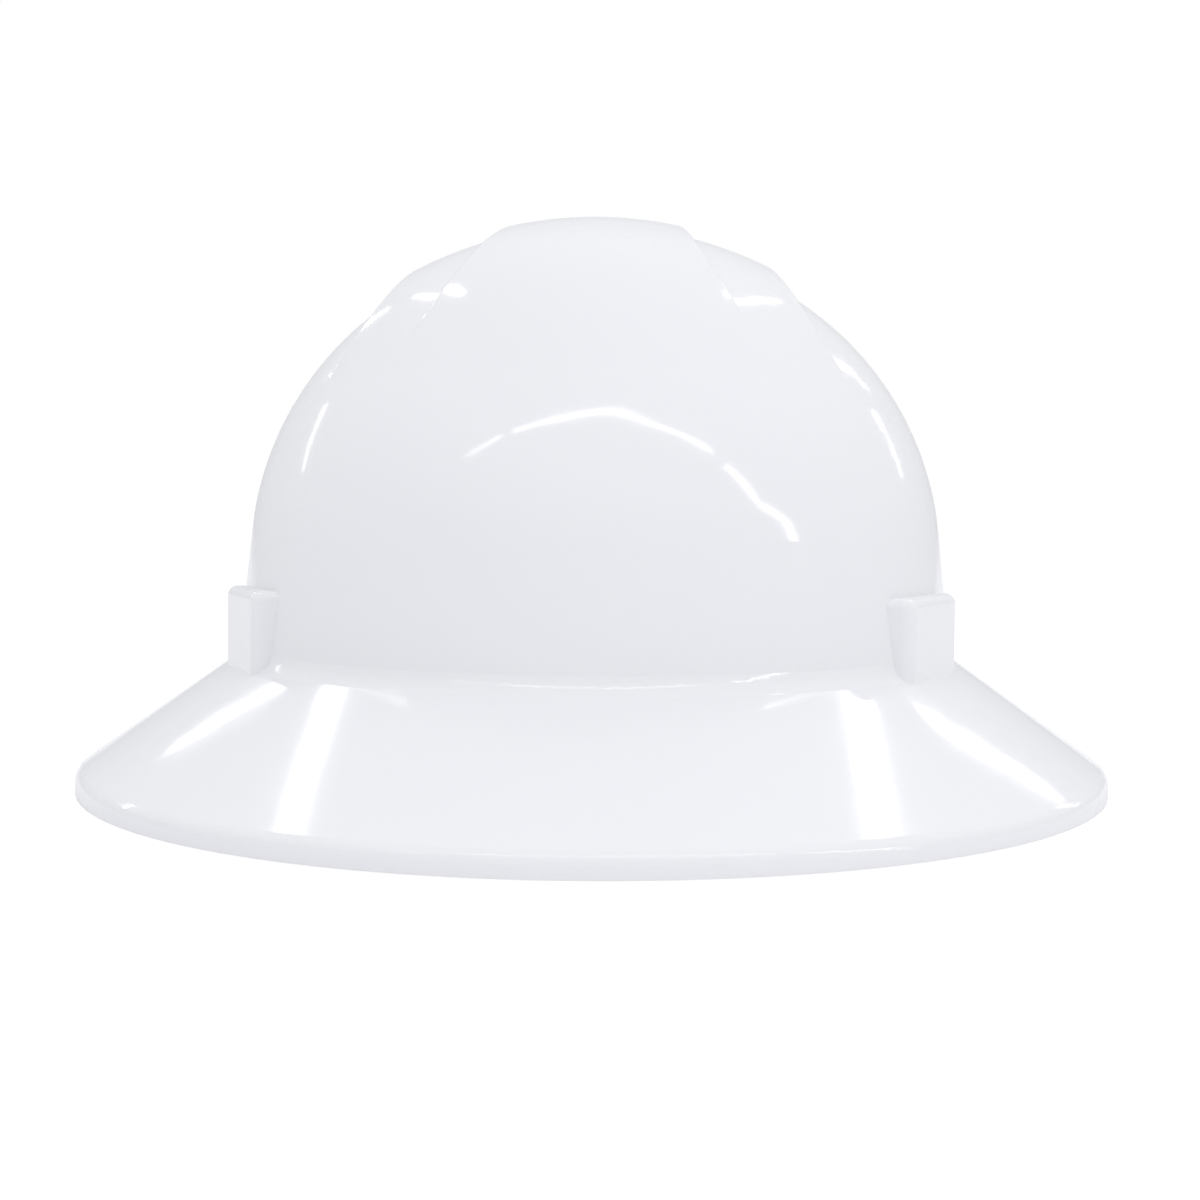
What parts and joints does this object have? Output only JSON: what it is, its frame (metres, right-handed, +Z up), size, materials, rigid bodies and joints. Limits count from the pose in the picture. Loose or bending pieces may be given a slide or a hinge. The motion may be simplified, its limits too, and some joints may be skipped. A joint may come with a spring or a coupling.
{
  "type": "full brim hard hat",
  "caption": "Full brim hard hat with a ridged, vented crown, side accessory pockets, a webbing suspension and a ratchet headband that tightens by its rear knob.",
  "frame": {"origin": "on the table plane under the middle of the brim's outline, at the lowest point of the brim's edge", "axes": "+Z up, the front of the hat toward -Y, the wearer's left toward +X"},
  "size_m": [0.302, 0.3624, 0.1664],
  "materials": {
    "shell_abs": "glossy moulded ABS",
    "key_plastic": "satin moulded nylon",
    "webbing": "woven nylon webbing",
    "band_plastic": "satin moulded polyethylene",
    "sweat_cloth": "padded terry cloth over foam",
    "strap_plastic": "satin moulded nylon",
    "ratchet_plastic": "satin moulded nylon",
    "knob_plastic": "fine grained nylon",
    "gear_plastic": "natural acetal",
    "screw_steel": "zinc plated steel",
    "spring_plastic": "natural acetal",
    "pad_cloth": "soft foam pad with a knitted face"
  },
  "bodies": {
    "shell": {"shell": "shell_abs"},
    "harness": {"front_left_key": "key_plastic", "front_right_key": "key_plastic", "side_left_key": "key_plastic", "side_right_key": "key_plastic", "rear_left_key": "key_plastic", "rear_right_key": "key_plastic", "front_left_to_rear_right_strap": "webbing", "front_right_to_rear_left_strap": "webbing", "side_to_side_strap": "webbing", "headband": "band_plastic", "sweatband": "sweat_cloth"},
    "strap_pins": {"left_strap_pin": "key_plastic", "right_strap_pin": "key_plastic"},
    "nape": {"ratchet_housing": "ratchet_plastic", "ratchet_cover": "ratchet_plastic", "cover_screws": "screw_steel", "nape_pad": "pad_cloth"},
    "left_strap": {"left_rack_strap": "strap_plastic"},
    "right_strap": {"right_rack_strap": "strap_plastic"},
    "knob": {"ratchet_knob": "knob_plastic", "drive_pinion": "gear_plastic", "knob_screw": "screw_steel", "detent_spring": "spring_plastic"}
  },
  "joints": [
    {"name": "harness_release", "type": "slide", "parent": "shell", "child": "harness", "axis": [0, 0, -1], "range_m": [0, 0.02]},
    {"name": "nape_tilt", "type": "hinge", "parent": "harness", "child": "strap_pins", "pos_m": [0, 0.002, 0.021], "axis": [1, 0, 0], "range_deg": [-5, 6]},
    {"name": "nape_slide", "type": "slide", "parent": "strap_pins", "child": "nape", "axis": [0, -1, 0], "range_m": [-0.016, 0.016]},
    {"name": "left_strap_turn", "type": "hinge", "parent": "nape", "child": "left_strap", "pos_m": [0, 0.002, 0.021], "axis": [0, 0, 1], "range_deg": [-11, 11]},
    {"name": "right_strap_turn", "type": "hinge", "parent": "nape", "child": "right_strap", "pos_m": [0, 0.002, 0.021], "axis": [0, 0, 1], "range_deg": [-11, 11]},
    {"name": "knob_turn", "type": "hinge", "parent": "nape", "child": "knob", "pos_m": [0, 0.1, 0.021], "axis": [0, 1, 0], "range_deg": [-232, 232]}
  ],
  "couplings": [
    {"joint": "left_strap_turn", "follows": "nape_slide", "rad_per_m": 11.236},
    {"joint": "right_strap_turn", "follows": "nape_slide", "rad_per_m": -11.494},
    {"joint": "knob_turn", "follows": "nape_slide", "rad_per_m": -250}
  ]
}
